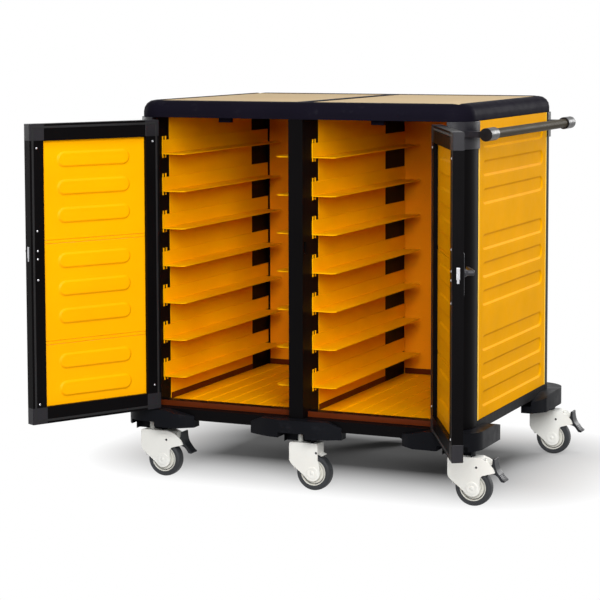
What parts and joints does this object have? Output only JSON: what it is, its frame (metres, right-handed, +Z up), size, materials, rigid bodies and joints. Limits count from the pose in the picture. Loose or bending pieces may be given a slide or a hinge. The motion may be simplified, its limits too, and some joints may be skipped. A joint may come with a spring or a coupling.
{
  "type": "meal tray cart",
  "caption": "Enclosed two-bay meal tray cart with hinged front doors, tray slides, a push handle, corner bumpers and swivel casters with brakes.",
  "frame": {"origin": "on the floor, under the middle of the whole box with both doors open as pictured", "axes": "+Z up, +X towards the end with the push handle, +Y from the doors to the back wall"},
  "size_m": [1.2668, 1.204, 1.058],
  "materials": {
    "black_metal": "satin black coating on extruded aluminium",
    "black_plastic": "satin black moulded plastic",
    "yellow_panel": "satin yellow moulded plastic",
    "lining": "satin orange-yellow moulded plastic",
    "top_cream": "glossy pale yellow laminate",
    "grey_tube": "satin grey",
    "steel": "brushed",
    "white_plastic": "smooth white nylon",
    "tyre": "dark grey soft rubber"
  },
  "bodies": {
    "cart_body": {"base_frame": "black_metal", "floor_panel": "lining", "top_frame": "black_plastic", "back_panel": "lining", "tray_rack_centre": "lining", "push_handle_tube": "grey_tube", "post_front_centre": "black_metal", "bumper_front_centre": "black_plastic", "post_front_left": "black_metal", "corner_fitting_front_left": "black_plastic", "bumper_front_left": "black_plastic", "post_front_right": "black_metal", "corner_fitting_front_right": "black_plastic", "bumper_front_right": "black_plastic", "post_rear_centre": "black_metal", "bumper_rear_centre": "black_plastic", "post_rear_left": "black_metal", "corner_fitting_rear_left": "black_plastic", "bumper_rear_left": "black_plastic", "post_rear_right": "black_metal", "corner_fitting_rear_right": "black_plastic", "bumper_rear_right": "black_plastic", "top_panel_left": "top_cream", "side_panel_left": "yellow_panel", "tray_rack_left": "lining", "hinge_left": "black_metal", "top_panel_right": "top_cream", "side_panel_right": "yellow_panel", "tray_rack_right": "lining", "hinge_right": "black_metal"},
    "door_left": {"door_frame_left": "black_metal", "door_panel_left": "yellow_panel"},
    "lever_left": {"door_lever_left": "black_plastic"},
    "bolt_left": {"latch_bolt_left": "steel"},
    "door_right": {"door_frame_right": "black_metal", "door_panel_right": "yellow_panel"},
    "lever_right": {"door_lever_right": "black_plastic"},
    "bolt_right": {"latch_bolt_right": "steel"},
    "caster_front_left": {"caster_fork_front_left": "white_plastic"},
    "wheel_front_left": {"wheel_hub_front_left": "white_plastic", "tyre_front_left": "tyre"},
    "pedal_front_left": {"brake_pedal_front_left": "black_plastic"},
    "caster_front_centre": {"caster_fork_front_centre": "white_plastic"},
    "wheel_front_centre": {"wheel_hub_front_centre": "white_plastic", "tyre_front_centre": "tyre"},
    "caster_front_right": {"caster_fork_front_right": "white_plastic"},
    "wheel_front_right": {"wheel_hub_front_right": "white_plastic", "tyre_front_right": "tyre"},
    "pedal_front_right": {"brake_pedal_front_right": "black_plastic"},
    "caster_rear_left": {"caster_fork_rear_left": "white_plastic"},
    "wheel_rear_left": {"wheel_hub_rear_left": "white_plastic", "tyre_rear_left": "tyre"},
    "pedal_rear_left": {"brake_pedal_rear_left": "black_plastic"},
    "caster_rear_centre": {"caster_fork_rear_centre": "white_plastic"},
    "wheel_rear_centre": {"wheel_hub_rear_centre": "white_plastic", "tyre_rear_centre": "tyre"},
    "caster_rear_right": {"caster_fork_rear_right": "white_plastic"},
    "wheel_rear_right": {"wheel_hub_rear_right": "white_plastic", "tyre_rear_right": "tyre"},
    "pedal_rear_right": {"brake_pedal_rear_right": "black_plastic"}
  },
  "joints": [
    {"name": "door_hinge_left", "type": "hinge", "parent": "cart_body", "child": "door_left", "pos_m": [-0.42558, -0.22313, 0.605], "axis": [0, 0, -1], "range_deg": [-118.9, 61.1]},
    {"name": "door_lever_turn_left", "type": "hinge", "parent": "door_left", "child": "lever_left", "pos_m": [-0.61261, -0.56193, 0.665], "axis": [-0.8755, 0.4833, 0], "range_deg": [0, 90]},
    {"name": "latch_bolt_slide_left", "type": "slide", "parent": "door_left", "child": "bolt_left", "axis": [-0.4833, -0.8755, 0], "range_m": [0, 0.01]},
    {"name": "door_hinge_right", "type": "hinge", "parent": "cart_body", "child": "door_right", "pos_m": [0.43442, -0.22313, 0.605], "axis": [0, 0, 1], "range_deg": [-117.4, 62.6]},
    {"name": "door_lever_turn_right", "type": "hinge", "parent": "door_right", "child": "lever_right", "pos_m": [0.61252, -0.56671, 0.665], "axis": [-0.8878, -0.4602, 0], "range_deg": [0, 90]},
    {"name": "latch_bolt_slide_right", "type": "slide", "parent": "door_right", "child": "bolt_right", "axis": [0.4602, -0.8878, 0], "range_m": [0, 0.01]},
    {"name": "caster_swivel_front_left", "type": "hinge", "parent": "cart_body", "child": "caster_front_left", "pos_m": [-0.45358, -0.18403, 0.128], "axis": [0, 0, 1], "continuous": true},
    {"name": "wheel_spin_front_left", "type": "hinge", "parent": "caster_front_left", "child": "wheel_front_left", "pos_m": [-0.41058, -0.18403, 0.05], "axis": [0, 1, 0], "continuous": true},
    {"name": "brake_pedal_turn_front_left", "type": "hinge", "parent": "caster_front_left", "child": "pedal_front_left", "pos_m": [-0.36558, -0.18403, 0.1], "axis": [0, 1, 0], "range_deg": [0, 12]},
    {"name": "caster_swivel_front_centre", "type": "hinge", "parent": "cart_body", "child": "caster_front_centre", "pos_m": [0.00442, -0.18403, 0.128], "axis": [0, 0, 1], "continuous": true},
    {"name": "wheel_spin_front_centre", "type": "hinge", "parent": "caster_front_centre", "child": "wheel_front_centre", "pos_m": [0.04742, -0.18403, 0.05], "axis": [0, 1, 0], "continuous": true},
    {"name": "caster_swivel_front_right", "type": "hinge", "parent": "cart_body", "child": "caster_front_right", "pos_m": [0.46242, -0.18403, 0.128], "axis": [0, 0, 1], "continuous": true},
    {"name": "wheel_spin_front_right", "type": "hinge", "parent": "caster_front_right", "child": "wheel_front_right", "pos_m": [0.50542, -0.18403, 0.05], "axis": [0, 1, 0], "continuous": true},
    {"name": "brake_pedal_turn_front_right", "type": "hinge", "parent": "caster_front_right", "child": "pedal_front_right", "pos_m": [0.55042, -0.18403, 0.1], "axis": [0, 1, 0], "range_deg": [0, 12]},
    {"name": "caster_swivel_rear_left", "type": "hinge", "parent": "cart_body", "child": "caster_rear_left", "pos_m": [-0.45358, 0.53597, 0.128], "axis": [0, 0, 1], "continuous": true},
    {"name": "wheel_spin_rear_left", "type": "hinge", "parent": "caster_rear_left", "child": "wheel_rear_left", "pos_m": [-0.41058, 0.53597, 0.05], "axis": [0, 1, 0], "continuous": true},
    {"name": "brake_pedal_turn_rear_left", "type": "hinge", "parent": "caster_rear_left", "child": "pedal_rear_left", "pos_m": [-0.36558, 0.53597, 0.1], "axis": [0, 1, 0], "range_deg": [0, 12]},
    {"name": "caster_swivel_rear_centre", "type": "hinge", "parent": "cart_body", "child": "caster_rear_centre", "pos_m": [0.00442, 0.53597, 0.128], "axis": [0, 0, 1], "continuous": true},
    {"name": "wheel_spin_rear_centre", "type": "hinge", "parent": "caster_rear_centre", "child": "wheel_rear_centre", "pos_m": [0.04742, 0.53597, 0.05], "axis": [0, 1, 0], "continuous": true},
    {"name": "caster_swivel_rear_right", "type": "hinge", "parent": "cart_body", "child": "caster_rear_right", "pos_m": [0.46242, 0.53597, 0.128], "axis": [0, 0, 1], "continuous": true},
    {"name": "wheel_spin_rear_right", "type": "hinge", "parent": "caster_rear_right", "child": "wheel_rear_right", "pos_m": [0.50542, 0.53597, 0.05], "axis": [0, 1, 0], "continuous": true},
    {"name": "brake_pedal_turn_rear_right", "type": "hinge", "parent": "caster_rear_right", "child": "pedal_rear_right", "pos_m": [0.55042, 0.53597, 0.1], "axis": [0, 1, 0], "range_deg": [0, 12]}
  ],
  "couplings": [
    {"joint": "latch_bolt_slide_left", "follows": "door_lever_turn_left", "m_per_rad": 0.0063661},
    {"joint": "latch_bolt_slide_right", "follows": "door_lever_turn_right", "m_per_rad": 0.0063661}
  ]
}
